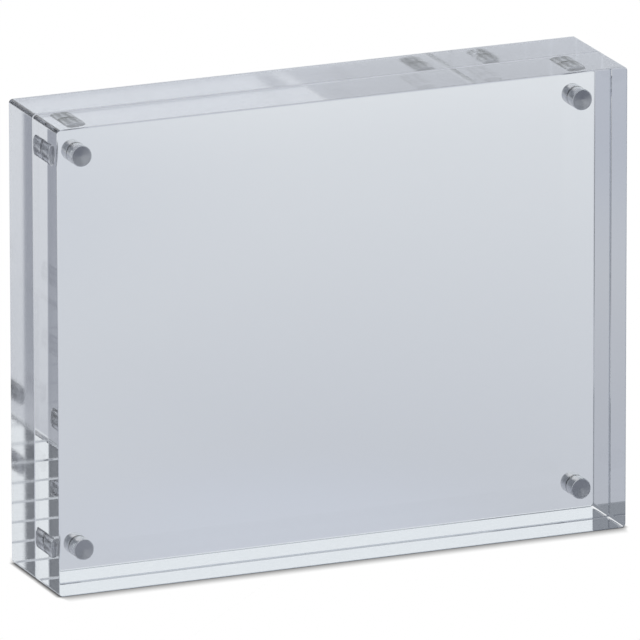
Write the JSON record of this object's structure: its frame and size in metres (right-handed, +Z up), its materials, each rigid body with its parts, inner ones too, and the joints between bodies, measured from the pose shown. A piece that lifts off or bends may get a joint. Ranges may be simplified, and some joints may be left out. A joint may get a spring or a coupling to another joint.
{
  "type": "acrylic block frame",
  "caption": "Free-standing photo frame of clear acrylic: a thick front block is held to a matching back block by small magnets set in their inner faces, with the print between.",
  "frame": {"origin": "middle of the width and of the closed thickness, on the surface the frame stands on", "axes": "+X along the width to the viewer's right, +Y from the front towards the back, +Z up"},
  "size_m": [0.115, 0.0242, 0.09],
  "materials": {
    "acrylic": "polished",
    "nickel": "satin"
  },
  "bodies": {
    "back": {"back_block": "acrylic", "back_magnet_top_left": "nickel", "back_magnet_top_right": "nickel", "back_magnet_bottom_left": "nickel", "back_magnet_bottom_right": "nickel"},
    "front": {"front_block": "acrylic", "front_magnet_top_left": "nickel", "front_magnet_top_right": "nickel", "front_magnet_bottom_left": "nickel", "front_magnet_bottom_right": "nickel"}
  },
  "joints": [
    {"name": "front_pull", "type": "slide", "parent": "back", "child": "front", "axis": [0, -1, 0], "range_m": [0, 0.04]}
  ]
}
